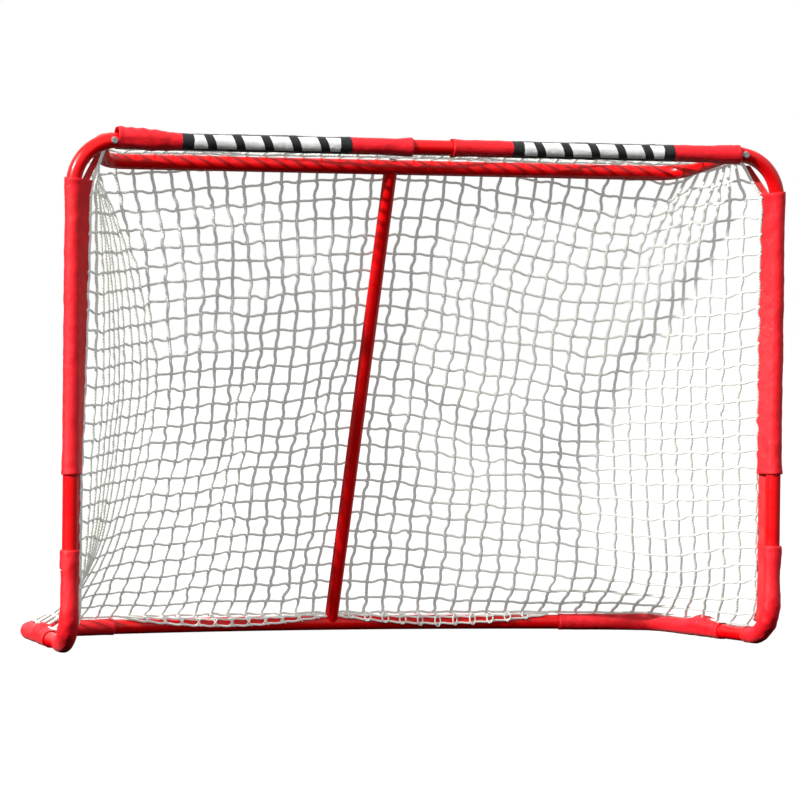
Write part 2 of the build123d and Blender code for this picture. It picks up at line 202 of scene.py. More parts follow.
class Grid:
    """Collects tubes and ribbons, each a grid of points, into one mesh."""

    def __init__(self):
        self.verts, self.faces, self.uvs = [], [], []
        self.count = 0

    def add(self, rings, u, v, around=True, caps=True):
        """rings is (along, across, 3). u runs along, v across, in metres."""
        n, m = rings.shape[:2]
        base = self.count
        self.verts.append(rings.reshape(-1, 3))
        self.count += n * m
        i = np.arange(n - 1)[:, None]
        j = np.arange(m if around else m - 1)[None, :]
        k = (j + 1) % m
        quad = np.stack([i * m + j, i * m + k, (i + 1) * m + k, (i + 1) * m + j], axis=-1) + base
        self.faces += quad.reshape(-1, 4).tolist()
        u_low, u_high = u[i] + 0 * j, u[i + 1] + 0 * j
        v_low, v_high = v[j] + 0 * i, v[j + 1] + 0 * i
        corners = np.stack(
            [
                np.stack([u_low, v_low], -1),
                np.stack([u_low, v_high], -1),
                np.stack([u_high, v_high], -1),
                np.stack([u_high, v_low], -1),
            ],
            axis=2,
        )
        self.uvs.append(corners.reshape(-1, 2))
        if around and caps:
            self.faces.append((base + np.arange(m)[::-1]).tolist())
            self.faces.append((base + (n - 1) * m + np.arange(m)).tolist())
            self.uvs.append(np.full((m, 2), u[0]))
            self.uvs.append(np.full((m, 2), u[-1]))

    def tube(self, points, radii, across, sides=8):
        """A round cord along points. across is a direction that it never runs along."""
        tangent = unit(np.gradient(points, axis=0))
        side = unit(np.cross(tangent, across))
        up = np.cross(tangent, side)
        angle = np.linspace(0, 2 * math.pi, sides, endpoint=False)
        radii = np.broadcast_to(radii, len(points))[:, None, None]
        ring = np.cos(angle)[None, :, None] * side[:, None] + np.sin(angle)[None, :, None] * up[:, None]
        self.add(points[:, None] + ring * radii, reach_along(points), np.linspace(0, 1, sides + 1))

    def piece(self, name, material):
        return new_piece(
            name, np.concatenate(self.verts), self.faces, material, np.concatenate(self.uvs)
        )


# --- Materials ----------------------------------------------------------------------------


class Shader:
    """A Principled material and short calls to add its nodes."""

    def __init__(self, name, **values):
        self.material = bpy.data.materials.new(name)
        self.material.use_nodes = True
        self.tree = self.material.node_tree
        self.main = self.tree.nodes["Principled BSDF"]
        for key, value in values.items():
            self.main.inputs[key.replace("_", " ")].default_value = value
        self.coords = self.tree.nodes.new("ShaderNodeTexCoord")

    def node(self, kind, inputs=None, **settings):
        node = self.tree.nodes.new("ShaderNode" + kind)
        for key, value in settings.items():
            setattr(node, key, value)
        for key, value in (inputs or {}).items():
            if isinstance(value, bpy.types.NodeSocket):
                self.tree.links.new(value, node.inputs[key])
            else:
                node.inputs[key].default_value = value
        return node

    def place(self, scale, source="Object"):
        mapping = self.node("Mapping", {"Vector": self.coords.outputs[source]})
        mapping.inputs["Scale"].default_value = scale
        return mapping.outputs["Vector"]

    def noise(self, scale, detail=2.0, stretch=(1, 1, 1), source="Object"):
        vector = self.place(stretch, source)
        return self.node("TexNoise", {"Vector": vector, "Scale": scale, "Detail": detail}).outputs[
            "Fac"
        ]

    def math(self, operation, a, b=0.0, c=0.0):
        return self.node("Math", {0: a, 1: b, 2: c}, operation=operation).outputs[0]

    def ramp(self, value, stops):
        node = self.node("ValToRGB", {"Fac": value})
        stop_list = node.color_ramp.elements
        for number, (position, colour) in enumerate(stops):
            stop = stop_list[number] if number < 2 else stop_list.new(position)
            stop.position = position
            stop.color = colour if isinstance(colour, tuple) else (colour, colour, colour, 1)
        return node.outputs["Color"]

    def mix(self, factor, a, b):
        node = self.node("Mix", data_type="RGBA")
        self.tree.links.new(factor, node.inputs["Factor"])
        for socket, value in ((node.inputs[6], a), (node.inputs[7], b)):
            if isinstance(value, bpy.types.NodeSocket):
                self.tree.links.new(value, socket)
            else:
                socket.default_value = value
        return node.outputs[2]

    def feed(self, name, value):
        self.tree.links.new(value, self.main.inputs[name])

    def bump(self, height, distance, strength=1.0, below=None):
        inputs = {"Height": height, "Distance": distance, "Strength": strength}
        if below is not None:
            inputs["Normal"] = below
        normal = self.node("Bump", inputs).outputs["Normal"]
        self.feed("Normal", normal)
        return normal


def paint():
    """Glossy red powder coat, with its faint peel, dust and rubbed spots."""
    s = Shader("red_powder_coat", Coat_Weight=0.08, Coat_Roughness=0.15, Specular_IOR_Level=0.3)
    blotch = s.noise(9, 4)
    colour = s.ramp(blotch, [(0.3, (0.66, 0.001, 0.003, 1)), (0.7, (0.78, 0.002, 0.004, 1))])
    scuffs = s.ramp(s.noise(160, 6, (1, 1, 0.2)), [(0.69, 0.0), (0.74, 1.0)])
    s.feed("Base Color", s.mix(scuffs, colour, (0.42, 0.02, 0.02, 1)))
    s.feed("Roughness", s.ramp(s.noise(30, 5), [(0.3, 0.24), (0.75, 0.42)]))
    s.bump(s.noise(700, 2), 0.00012)
    return s.material


def weave(s, pitch, depth, below=None):
    """Over and under threads along U and V, which are both in metres."""
    uv = s.coords.outputs["UV"]
    scale = 2 * math.pi / pitch
    split = s.node("SeparateXYZ", {"Vector": uv})
    warp = s.math("SINE", s.math("MULTIPLY", split.outputs[0], scale))
    weft = s.math("SINE", s.math("MULTIPLY", split.outputs[1], scale))
    return s.bump(s.math("MULTIPLY", warp, weft), depth, 0.8, below)


def sleeve_cloth(name, light, dark):
    """Coated nylon: fine weave, soft folds, paler where it is rubbed."""
    s = Shader(name, Sheen_Weight=0.06, Sheen_Roughness=0.4, Specular_IOR_Level=0.35)
    folds = s.noise(14, 5)
    colour = s.ramp(folds, [(0.28, dark), (0.72, light)])
    s.feed("Roughness", s.ramp(s.noise(45, 4), [(0.3, 0.38), (0.7, 0.6)]))
    crumple = s.bump(s.noise(38, 6), 0.0035, 0.7)
    weave(s, 0.0012, 0.00012, crumple)
    return s, colour


def plain_sleeve():
    s, colour = sleeve_cloth("red_sleeve_nylon", (0.86, 0.006, 0.018, 1), (0.68, 0.002, 0.008, 1))
    s.feed("Base Color", colour)
    return s.material


def banded_sleeve(name, low_x, high_x):
    """A sleeve with a dark printed band and a row of plain pale blocks along it."""
    s, colour = sleeve_cloth(name, (0.86, 0.006, 0.018, 1), (0.68, 0.002, 0.008, 1))
    split = s.node("SeparateXYZ", {"Vector": s.coords.outputs["Object"]})
    x, z = split.outputs[0], split.outputs[2]
    middle, half = (low_x + high_x) / 2, (high_x - low_x) / 2
    edge = s.math("MULTIPLY", s.math("SUBTRACT", s.noise(60, 3), 0.5), 0.004)
    reach = s.math("ABSOLUTE", s.math("ADD", s.math("SUBTRACT", x, middle), edge))
    band = s.math("LESS_THAN", reach, half)
    slant = s.math("MULTIPLY_ADD", s.math("SUBTRACT", z, BAR_Z), 0.35, x)
    cell = s.math("FRACT", s.math("DIVIDE", s.math("SUBTRACT", slant, low_x), 2 * half / 6))
    block = s.math("LESS_THAN", s.math("ABSOLUTE", s.math("SUBTRACT", cell, 0.5)), 0.34)
    inside = s.math("LESS_THAN", reach, half - 0.03)
    tall = s.math("LESS_THAN", s.math("ABSOLUTE", s.math("SUBTRACT", z, BAR_Z + 0.001)), 0.017)
    pale = s.math("MULTIPLY", s.math("MULTIPLY", block, inside), tall)
    print_grain = s.noise(220, 3)
    black = s.ramp(print_grain, [(0.3, (0.006, 0.007, 0.008, 1)), (0.7, (0.016, 0.017, 0.019, 1))])
    white = s.ramp(print_grain, [(0.3, (0.7, 0.72, 0.72, 1)), (0.7, (0.86, 0.87, 0.86, 1))])
    printed = s.mix(pale, black, white)
    s.feed("Base Color", s.mix(band, colour, printed))
    return s.material


def cord(name, twist, light, dark):
    """White braided cord: U runs along it in metres, V once round it.

    The faint glow is painted light: it brightens the whole cord, its shaded sides and the parts in shadow
    too, and stands for the light that scatters through thin white fibre."""
    s = Shader(name, Roughness=0.78, Sheen_Weight=0.1, Specular_IOR_Level=0.25)
    s.main.inputs["Emission Color"].default_value = (0.95, 1, 0.95, 1)
    # Painted light: the cords glow faintly, though they are no lamp.
    s.main.inputs["Emission Strength"].default_value = PAINTED_GLOW
    split = s.node("SeparateXYZ", {"Vector": s.coords.outputs["UV"]})
    along = s.math("MULTIPLY", split.outputs[0], 2 * math.pi / twist)
    round_it = s.math("MULTIPLY", split.outputs[1], 4 * math.pi)
    one = s.math("SINE", s.math("ADD", along, round_it))
    other = s.math("SINE", s.math("SUBTRACT", along, round_it))
    braid = s.math("MAXIMUM", one, other)
    # Painted shade: the grooves between the braid's strands get the darker colour.
    painted_groove_shade = s.ramp(s.math("MULTIPLY_ADD", braid, 0.5, 0.5), [(0.35, dark), (0.8, light)])
    grime = s.ramp(s.noise(6, 5), [(0.35, (0.9, 0.91, 0.87, 1)), (0.6, (1, 1, 1, 1))])
    tint = s.node("Mix", data_type="RGBA", blend_type="MULTIPLY")
    tint.inputs["Factor"].default_value = 1
    s.tree.links.new(painted_groove_shade, tint.inputs[6])
    s.tree.links.new(grime, tint.inputs[7])
    s.feed("Base Color", tint.outputs[2])
    s.bump(braid, 0.0006, 0.9)
    return s.material


def tape():
    """Dark red woven edge tape, with ribs across and a line of stitches."""
    s = Shader("edge_tape", Roughness=0.7, Sheen_Weight=0.3)
    split = s.node("SeparateXYZ", {"Vector": s.coords.outputs["UV"]})
    ribs = s.math("SINE", s.math("MULTIPLY", split.outputs[0], 2 * math.pi / 0.0016))
    run = s.math("FRACT", s.math("DIVIDE", split.outputs[0], 0.006))
    off = s.math("ABSOLUTE", s.math("SUBTRACT", split.outputs[1], 0.004))
    stitch = s.math(
        "MULTIPLY", s.math("LESS_THAN", off, 0.0006), s.math("LESS_THAN", run, 0.6)
    )
    colour = s.ramp(s.noise(25, 4), [(0.3, (0.62, 0.002, 0.006, 1)), (0.7, (0.8, 0.006, 0.014, 1))])
    s.feed("Base Color", s.mix(stitch, colour, (0.9, 0.04, 0.05, 1)))
    s.bump(s.math("ADD", ribs, s.math("MULTIPLY", stitch, 2.5)), 0.0002)
    return s.material


def metal(name, light, dark, roughness, grain):
    """Plated or oiled steel, with a fine grain and duller patches."""
    s = Shader(name, Metallic=1.0)
    s.feed("Base Color", s.ramp(s.noise(120, 4), [(0.3, dark), (0.7, light)]))
    s.feed("Roughness", s.ramp(s.noise(300, 3), [(0.3, roughness), (0.7, roughness + 0.18)]))
    s.bump(s.noise(grain, 2, (1, 1, 6)), 0.00005)
    return s.material


def ring_plastic():
    s = Shader("ring_nylon", Roughness=0.3, Subsurface_Weight=0.05)
    s.feed("Base Color", s.ramp(s.noise(90, 3), [(0.3, (0.74, 0.74, 0.71, 1)), (0.7, (0.88, 0.88, 0.86, 1))]))
    s.bump(s.noise(900, 2), 0.00006)
    return s.material


PAINT = paint()
NYLON = plain_sleeve()
BANDED = {
    "left": banded_sleeve("banded_sleeve_left", -0.663, -0.224),
    "right": banded_sleeve("banded_sleeve_right", 0.203, 0.642),
}
# The second, darker colour of each cord is painted shade in the braid's grooves.
NET_CORD = cord("net_cord", 0.008, (0.56, 0.56, 0.54, 1), (0.36, 0.38, 0.35, 1))
LACE_CORD = cord("lace_cord", 0.006, (0.7, 0.7, 0.68, 1), (0.42, 0.43, 0.41, 1))
TAPE = tape()
ZINC = metal("zinc_plate", (0.8, 0.8, 0.78, 1), (0.55, 0.56, 0.58, 1), 0.28, 400)
BUTTON = metal("button_plate", (0.66, 0.65, 0.62, 1), (0.42, 0.42, 0.42, 1), 0.25, 500)
SPRING = metal("spring_steel", (0.3, 0.3, 0.32, 1), (0.16, 0.16, 0.18, 1), 0.3, 300)
RING = ring_plastic()


# --- Paths --------------------------------------------------------------------------------


def resample(points, step):
    """Evenly spaced points along a polyline."""
    reach = reach_along(points)
    count = max(2, int(round(reach[-1] / step)) + 1)
    return points_at(points, reach, np.linspace(0, reach[-1], count))


def resample_to(points, count):
    """The same polyline with count evenly spaced points."""
    reach = reach_along(points)
    return points_at(points, reach, np.linspace(0, reach[-1], count))


def filleted(corners, radii, step=RING_STEP):
    """A run of straight tube with round bends at its inner corners."""
    points = [corners[0]]
    for before, corner, after, radius in zip(corners, corners[1:], corners[2:], radii):
        way_in, way_out = unit(corner - before), unit(after - corner)
        turn = math.acos(np.clip(way_in @ way_out, -1, 1))
        inward = unit(way_out - way_in * (way_in @ way_out))
        start = corner - way_in * radius * math.tan(turn / 2)
        centre = start + inward * radius
        for angle in np.linspace(0, turn, 12):
            points.append(centre - inward * radius * math.cos(angle) + way_in * radius * math.sin(angle))
    points.append(corners[-1])
    return resample(np.array(points), step)


def smooth_line(points, parts):
    """A Catmull-Rom curve through points, each span cut into equal parts."""
    padded = np.concatenate([[2 * points[0] - points[1]], points, [2 * points[-1] - points[-2]]])
    a, b, c, d = padded[:-3, None], padded[1:-2, None], padded[2:-1, None], padded[3:, None]
    t = (np.arange(parts) / parts)[None, :, None]
    curve = 0.5 * (
        2 * b + (c - a) * t + (2 * a - 5 * b + 4 * c - d) * t**2 + (3 * b - a - 3 * c + d) * t**3
    )
    return np.concatenate([curve.reshape(-1, 3), points[-1:]])


def rear_run_point(side, x):
    depth = bow_depth(REAR_JOINT_X) - math.tan(BOW_TILT) * (x - REAR_JOINT_X)
    return at(side * x, depth, BASE_Z)


# --- Net layout ---------------------------------------------------------------------------
# Six stations run from the middle of the back (0), round the rear corner (3), to the post (5).
# The outlines give (x, depth) at each. Half-way up, the net is drawn in and forward by the pulls.
BASE_OUTLINE = np.array(
    [
        (0, BASE_DEPTH + 0.012),
        (0.3, bow_depth(0.3) + 0.012),
        (0.6, bow_depth(0.6) + 0.012),
        (0.848, 0.604),
        (side_line_x(0.33), 0.33),
        (0.892, 0.02),
    ]
)
TOP_OUTLINE = np.array(
    [(0, 0.309), (0.28, 0.309), (0.56, 0.309), (0.794, 0.307), (0.85, 0.17), (0.846, 0.036)]
)
PULL_IN = np.array([0, 0.01, 0.07, 0.22, 0.145, 0])
PULL_FORWARD = np.array([0, 0.046, 0.093, 0.07, 0, 0])
FLARE = 0.3
CORNER_STATION = 3
LAST_STATION = 5


def half_line(station, height):
    """Points of the right half of the net's surface, by station (0 to 5) and height (0 to 1)."""
    stations = np.arange(6)

    def along(values):
        return np.interp(station, stations, values)

    x = along(BASE_OUTLINE[:, 0]) * (1 - height) + along(TOP_OUTLINE[:, 0]) * height
    waist = np.sin(math.pi * np.clip(height, 0, 1)) ** np.where(height < 0.5, FLARE, 1)
    x = x - along(PULL_IN) * waist
    depth = along(BASE_OUTLINE[:, 1]) * (1 - height) + along(TOP_OUTLINE[:, 1]) * height
    depth = depth - along(PULL_FORWARD) * waist
    foot = np.where(station > 4.9, NET_FOOT, NET_LOW)
    return np.stack([x, GOAL_Y + depth, foot + (NET_HIGH - foot) * height], axis=-1)


def even_stations(height, first, last, count):
    """Stations of count + 1 columns, evenly spaced by length between two stations."""
    dense = np.linspace(first, last, 400)
    line = half_line(dense, np.full(400, height))
    reach = reach_along(line)
    return np.interp(np.linspace(0, reach[-1], count + 1), reach, dense)


def ease(value):
    value = np.clip(value, 0, 1)
    return value * value * (3 - 2 * value)


def column_stations():
    """Where each column of a half runs at the shelf, half-way up and at the base."""
    top = np.concatenate(
        [
            even_stations(1, 0, CORNER_STATION, BAR_COLUMN)[:-1],
            even_stations(1, CORNER_STATION, LAST_STATION, HALF - BAR_COLUMN),
        ]
    )
    middle = even_stations(0.5, 0, LAST_STATION, HALF)
    base = np.concatenate(
        [
            even_stations(0, 0, CORNER_STATION, CORNER_COLUMN)[:-1],
            even_stations(0, CORNER_STATION, 4.8, HALF - CORNER_COLUMN),
        ]
    )
    return top, middle, base


def smooth_noise(rows, columns, coarse, size):
    """A soft random field of vectors, from a coarse grid of them."""
    seeds = RANDOM.normal(0, size, (coarse + 2, 2 * coarse + 2, 3))
    i = np.linspace(0, coarse, rows)
    j = np.linspace(0, 2 * coarse, columns)
    ii, jj = i.astype(int), j.astype(int)
    fi, fj = ease(i - ii)[:, None, None], ease(j - jj)[None, :, None]
    a = seeds[ii][:, jj] * (1 - fj) + seeds[ii][:, jj + 1] * fj
    b = seeds[ii + 1][:, jj] * (1 - fj) + seeds[ii + 1][:, jj + 1] * fj
    return a * (1 - fi) + b * fi


def edge_line(share):
    """Crossings down a post's edge of the net, by share of the way to the base side."""
    drop = np.concatenate([np.linspace(1.14, 0.118, 60), 0.118 - np.linspace(0, 0.092, 30)])
    line = np.array([at(*EDGE_TOP)] + [post_edge(1, EDGE_REACH, z) for z in drop])
    line[:, 2] = np.maximum(line[:, 2], NET_LOW)
    reach = reach_along(line)
    return points_at(line, reach, share * reach[-1])


def rows_down(drops):
    """How far past the shelf bar's top each crossing of a half lies, in meshes.

    The net slips over the bar towards the corners, so its rows hang lower there."""
    plain = (FIRST_ROW + np.arange(ROWS + 3))[:, None]
    last = plain[-1]
    column = np.arange(HALF + 1)[None, :]
    slip = np.interp(column, DROP_COLUMNS, drops)
    return plain + slip * (1 - ease((plain / last - 0.45) / 0.55))


def lay_out_half(down):
    """Crossings of the right half of the net before it hangs, (rows, columns, 3)."""
    top, middle, base = column_stations()
    height = np.clip(1 - (down - BAR_WRAP) / (down[-1] - BAR_WRAP), 0, 1)
    near_top = ease((height - NEAR_TOP) / (1 - NEAR_TOP))
    near_base = ease((NEAR_BASE - height) / NEAR_BASE)
    station = middle + (top - middle) * near_top + (base - middle) * near_base
    points = half_line(station, height)
    up_the_leg = np.clip(station - CORNER_STATION, 0, 2) / 2
    up_the_leg = up_the_leg * ease((height - NEAR_LEG) / (1 - NEAR_LEG))
    points[..., 2] += LEG_RISE * up_the_leg
    points[:, HALF] = edge_line(np.clip(down[:, HALF] / down[-1, HALF], 0, 1))
    reach = TUBE_R + COLUMN_R
    for i, j in np.argwhere(down[:, : BAR_COLUMN + 1] < BAR_WRAP):
        x = points[i, j, 0]
        turn = max(down[i, j], 0) * MESH / reach
        ahead = max(-down[i, j], 0) * MESH
        depth = SHELF_DEPTH - ahead + reach * math.sin(turn)
        points[i, j] = at(x, depth, SHELF_Z + reach * math.cos(turn) + ROOF_SLOPE * ahead)
    return points


def lay_out_net():
    """Crossings of the whole net before it hangs, and how far down each is."""
    right, left = rows_down(DROP_RIGHT), rows_down(DROP_LEFT)
    mirrored = lay_out_half(left)[:, :0:-1] * (-1, 1, 1)
    points = np.concatenate([mirrored, lay_out_half(right)], axis=1)
    down = np.concatenate([left[:, :0:-1], right], axis=1)
    away = at(*PINCH) - points
    distance = np.linalg.norm(away, axis=2, keepdims=True)
    pull = 0.5 * ease(1 - distance / PINCH_REACH) * (down[:, :, None] > BAR_WRAP)
    return points + away * pull, down


def hang_net(start, down_rows):
    """Lets the cords pull on their crossings, with their edges held, until the net rests."""
    rows, columns = start.shape[:2]
    held = (down_rows < BAR_WRAP + 0.5).astype(float)[:, :, None]
    held[-1] = 1
    held[:, 0] = held[:, -1] = 1
    free = 1 - held
    calm = 1 - 0.75 * ease((np.abs(np.arange(columns) - HALF) - 12) / 6)[None, :, None]
    guide = start + smooth_noise(rows, columns, 7, 0.007) * free * calm
    guide += smooth_noise(rows, columns, 16, 0.004) * free * calm
    points = guide.copy()
    down = MESH * (1 + RANDOM.normal(0, 0.02, (rows - 1, columns, 1)))
    across = MESH * (1 + RANDOM.normal(0, 0.02, (rows, columns - 1, 1)))
    for step in range(SETTLE_STEPS):
        points += free * (GUIDE_PULL * (guide - points) + np.array([0, 0, -SETTLE_FALL]))
        for sweep in range(SETTLE_SWEEPS):
            pull = np.zeros_like(points)
            gap = points[1:] - points[:-1]
            length = np.maximum(np.linalg.norm(gap, axis=2, keepdims=True), 1e-6)
            move = gap / length * np.maximum(length - down, 0) * SPAN_SHARE
            pull[:-1] += move
            pull[1:] -= move
            gap = points[:, 1:] - points[:, :-1]
            length = np.maximum(np.linalg.norm(gap, axis=2, keepdims=True), 1e-6)
            move = gap / length * np.maximum(length - across, 0) * SPAN_SHARE
            pull[:, :-1] += move
            pull[:, 1:] -= move
            points += free * pull * SWEEP_SHARE
    return points


def wiggle(line, parts, sideways, swing):
    """Bends each span of a subdivided strand into a shallow S, sideways."""
    t = np.arange(len(line)) % parts / parts
    span = np.arange(len(line)) // parts
    sign = np.where(span % 2 == 0, 1, -1) * swing[np.minimum(span, len(swing) - 1)]
    return line + sideways * (sign * np.sin(2 * math.pi * t))[:, None]


def net_frame(points):
    """Unit directions down the columns, across the rows, and out of the net."""
    down = unit(np.gradient(points, axis=0))
    across = unit(np.gradient(points, axis=1))
    return down, across, unit(np.cross(across, down))


def way_to_hang(j, line, hanging):
    """A column's way up to where it hangs: over the roof and the shelf bar, or from the leg."""
    if abs(j - HALF) > BAR_COLUMN:
        top = line[0]
        return top[None] + (line[hanging][0] - top) * LEG_SHARE
    reach = TUBE_R + COLUMN_R
    x = line[hanging][0, 0]
    turns = np.radians([0, 28, 56, 84])
    over = [at(x, SHELF_DEPTH + reach * math.sin(t), SHELF_Z + reach * math.cos(t)) for t in turns]
    return np.array(list(line[DOWN[:, j] < 0]) + over)


def round_base_bar(x, degrees, reach):
    """A point beside the rear base bar, so many degrees from its top towards the mouth."""
    lean = math.asin(x / BOW_R)
    inward = np.array([-math.sin(lean), -math.cos(lean), 0])
    angle = math.radians(degrees)
    return at(x, bow_depth(x), BASE_Z) + inward * reach * math.sin(angle) + UP * reach * math.cos(angle)


def lace_sag(x):
    """How far the lacing sags towards the inside, in two swags between the centre and the ends."""
    return math.sin(math.pi * min(abs(x) / LACE_HALF_X, 1)) ** 0.7


def hem_angle(x):
    return 16 + 40 * lace_sag(x)


def draw_angle(x):
    return 24 + 72 * lace_sag(x)


def over_base_bar(x):
    """A column's way over the rear base bar, from its top to the hem cord inside."""
    turns = np.linspace(-5, hem_angle(x), 4)
    return [round_base_bar(x, turn, TUBE_R + COLUMN_R + 0.0006) for turn in turns]


def roof_columns():
    """Points of the net roof, (rows, columns, 3), from the crossbar's flap to the hanging net."""
    first = NET[0, HALF - BAR_COLUMN : HALF + BAR_COLUMN + 1]
    spread = np.linspace(-ROOF_HALF_X, ROOF_HALF_X, 2 * BAR_COLUMN + 1)
    flap = np.array([at(x, *ROOF_FLAP) for x in spread])
    share = np.linspace(0, 1, ROOF_ROWS + 1)[:, None, None]
    return flap + (first - flap) * share


START, DOWN = lay_out_net()
NET = hang_net(START, DOWN)
ROOF = roof_columns()
ROOF[1:-1, 1:-1] += smooth_noise(*ROOF.shape[:2], 6, 0.004)[1:-1, 1:-1]
ROOF[1:-1, 1:-1, 2] -= ROOF_SAG


def build_net():
    parts = 5
    down, across, out = net_frame(NET)
    columns, rows, knots = Grid(), Grid(), Grid()
    for j in range(2 * HALF + 1):
        line = NET[:, j]
        hanging = DOWN[:, j] > BAR_WRAP
        way = smooth_line(line[hanging], parts)
        side = smooth_line(across[hanging, j], parts)
        swing = RANDOM.normal(0, 0.001, ROWS) + 0.002 * (-1) ** j
        way = wiggle(way, parts, unit(side), swing)
        way = np.concatenate([way_to_hang(j, line, hanging), way])
        if abs(line[-1, 0]) < LACE_HALF_X:
            way = np.concatenate([way, over_base_bar(line[-1, 0])])
        radii = COLUMN_R * (1 + RANDOM.normal(0, 0.03, len(way)))
        columns.tube(way, radii, (0.37, 0.93, 0.1), sides=8)
    for i in range(len(NET)):
        way = smooth_line(NET[i], parts)
        side = smooth_line(down[i], parts)
        swing = RANDOM.normal(0, 0.001, 2 * HALF) + 0.0018 * (-1) ** i
        way = wiggle(way, parts, unit(side), swing)
        radii = ROW_R * (1 + RANDOM.normal(0, 0.03, len(way)))
        rows.tube(way, radii, (0, 0.05, 1), sides=8)
    for i in range(len(NET)):
        for j in range(2 * HALF + 1):
            slant = unit(across[i, j] + down[i, j] * (-1) ** (i + j))
            reach = np.linspace(-0.0068, 0.0068, 7)
            blob = NET[i, j] + slant * reach[:, None]
            radii = COLUMN_R * (0.3 + 0.82 * np.sqrt(np.clip(1 - (reach / 0.0071) ** 2, 0, 1)))
            knots.tube(blob, radii, out[i, j], sides=7)
    built = [
        columns.piece("net_columns", NET_CORD),
        rows.piece("net_rows", NET_CORD),
        knots.piece("net_crossings", NET_CORD),
    ]
    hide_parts("net_back")
    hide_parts("net_side_left", "net_side_right")
    roof = Grid()
    for j in range(ROOF.shape[1]):
        roof.tube(smooth_line(ROOF[:, j], parts), COLUMN_R, (1, 0.1, 0.1), sides=8)
    for i in range(ROOF.shape[0] - 1):
        roof.tube(smooth_line(ROOF[i], parts), ROW_R, (0, 0.05, 1), sides=8)
    built.append(roof.piece("net_roof_cords", NET_CORD))
    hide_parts("net_roof")


build_net()


# --- Lacing -------------------------------------------------------------------------------


def build_lacing():
    """The hem cord and draw cord in two swags, laced together on the left and ringed on the right."""
    places = np.linspace(-LACE_HALF_X, LACE_HALF_X, 150)
    reach = TUBE_R + LACE_R + 0.0012
    hem, draw, loops, links = Grid(), Grid(), Grid(), Grid()
    for grid, angle, height in ((hem, hem_angle, 0.004), (draw, draw_angle, 0.001)):
        line = np.array([round_base_bar(x, angle(x), reach + height) for x in places])
        line[:, 2] += 0.0012 * np.sin(places * 130)
        grid.tube(line, LACE_R, UP, sides=8)
    columns = [x for x in NET[-1, :, 0] if abs(x) < LACE_HALF_X - 0.03]
    for x in columns:
        high = round_base_bar(x, hem_angle(x), reach + 0.003)
        low = round_base_bar(x, draw_angle(x), reach + 0.001)
        out = unit((high + low) / 2 - at(x, bow_depth(x), BASE_Z))
        along = np.array([1.0, 0, 0])
        down = unit(low - high)
        if x < 0:
            for slant in (-1, 1):
                start = high - along * slant * LOOP_HALF - down * 0.003
                end = low + along * slant * LOOP_HALF + down * 0.003
                middle = (start + end) / 2 + out * 0.004
                loops.tube(smooth_line(np.array([start, middle, end]), 5), LOOP_R, out, sides=7)
            continue
        turn = RANDOM.normal(0, 0.5)
        tall = np.linalg.norm(low - high) / 2 + 0.006
        wide = along * math.cos(turn) + out * math.sin(turn)
        angles = np.linspace(0, 2 * math.pi, 26)
        centre = (high + low) / 2 + out * 0.0035 + UP * RANDOM.normal(0, 0.001)
        ring = [centre + wide * RING_WIDE * math.cos(a) + down * tall * math.sin(a) for a in angles]
        links.tube(np.array(ring), RING_R, unit(np.cross(wide, down)), sides=8)
    built = [
        (hem.piece("hem_lace", LACE_CORD), "lacing_cord"),
        (draw.piece("draw_lace", LACE_CORD), "lacing_cord"),
        (loops.piece("cross_lacing", LACE_CORD), "lacing_cord"),
        (links.piece("lacing_rings", RING), "ring_plastic"),
    ]
    for (piece, slot), node in zip(built, ("hem_cord", "draw_cord", None, "net_rings")):
        if node:
            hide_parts(node)


build_lacing()


# --- Sleeves ------------------------------------------------------------------------------


def crease(point, scale, seed):
    """Soft noise between about -1 and 1 at a point of space."""
    return noise.noise(Vector(point * scale) + Vector((seed, 2 * seed, 3 * seed)))


def sleeve_rings(path, toward, reach, bags, seed, skin):
    """Rings of a cloth tube round a path. reach is how far its flap stands out, or None.

    bags is a list of (place along it, half length, swell, direction or None)."""
    tangent = unit(np.gradient(path, axis=0))
    toward = np.broadcast_to(toward, path.shape)
    first = unit(toward - tangent * (tangent * toward).sum(axis=1, keepdims=True))
    second = np.cross(tangent, first)
    length = np.linalg.norm(np.diff(path, axis=0), axis=1).sum()
    along = np.linspace(0, length, len(path))
    spread = np.linspace(-1, 1, SLEEVE_SIDES + 1)[:-1]
    if reach:
        angles = np.sign(spread) * np.abs(spread) ** 1.5 * math.pi
        lean = math.acos((SLEEVE_R - 0.0012) / reach)
        flap = SLEEVE_R / np.cos(np.maximum(lean - np.abs(angles), 0))
        base = np.minimum(flap, reach + 0.001)
    else:
        angles = spread * math.pi
        base = np.full(len(angles), SLEEVE_R)
    rings = np.zeros((len(path), len(angles), 3))
    for i, place in enumerate(along):
        end = min(place, length - place)
        hem = 0.0007 * ease((0.013 - end) / 0.002) - 0.0006 * math.exp(-((end - 0.014) / 0.0015) ** 2)
        for j, angle in enumerate(angles):
            out = first[i] * math.cos(angle) + second[i] * math.sin(angle)
            spot = path[i] + out * base[j]
            fold = crease(spot, 26, seed) * 0.0012 + abs(crease(spot, 55, seed + 9)) * 0.0011
            swell = 0.0
            for middle, half, size, direction in bags:
                near = ease(1 - abs(place - middle) / half)
                side = 1.0 if direction is None else max(0.0, out @ direction)
                rough = 1 + 0.5 * crease(spot, 48, seed + 5)
                swell += near * size * side * rough
            thick = max(base[j] + hem + fold + swell, SLEEVE_R - 0.0006) - skin
            rings[i, j] = path[i] + out * thick
    rings[..., 2] = np.maximum(rings[..., 2], skin)
    return rings, along


